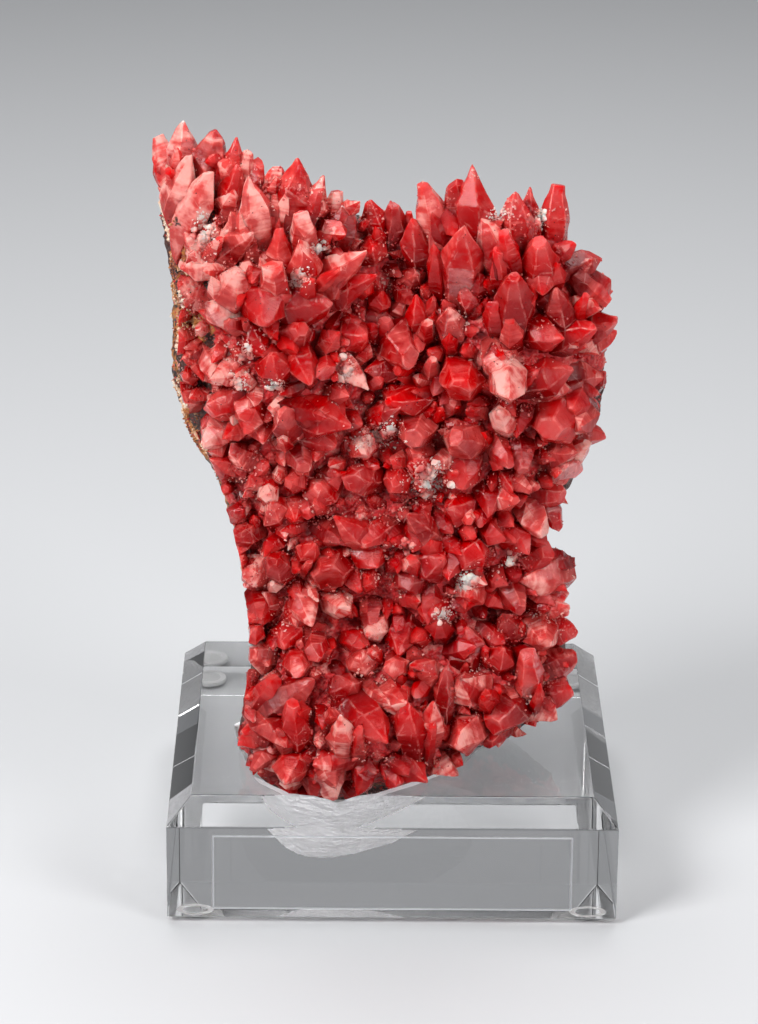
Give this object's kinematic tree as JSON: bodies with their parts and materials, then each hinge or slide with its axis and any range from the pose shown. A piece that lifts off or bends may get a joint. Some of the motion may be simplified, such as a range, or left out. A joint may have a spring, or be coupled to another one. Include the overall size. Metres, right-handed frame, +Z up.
{
  "type": "mineral specimen on a display base",
  "caption": "Upright cluster of pointed red crystals on a rock back, resting in a seat carved into a clear square bevelled block on small domed feet.",
  "frame": {"origin": "bottom centre of the whole object's bounding box, at the height of the surface it stands on", "axes": "+Z up, -Y the way the crystal face and the engraved border look, +X to the viewer's right"},
  "size_m": [0.1126, 0.108, 0.189],
  "materials": {
    "rhodochrosite": "vitreous, translucent red to salmon crystals with pale frosted edges, on dark brown-black rock",
    "acrylic": "clear and polished, with a frosted white carved seat and a frosted engraved line",
    "bumper": "clear, smooth, slightly soft"
  },
  "bodies": {
    "root": {"specimen": "rhodochrosite", "acrylic_base": "acrylic", "foot_front_left": "bumper", "foot_front_right": "bumper", "foot_back_left": "bumper", "foot_back_right": "bumper"}
  },
  "joints": []
}
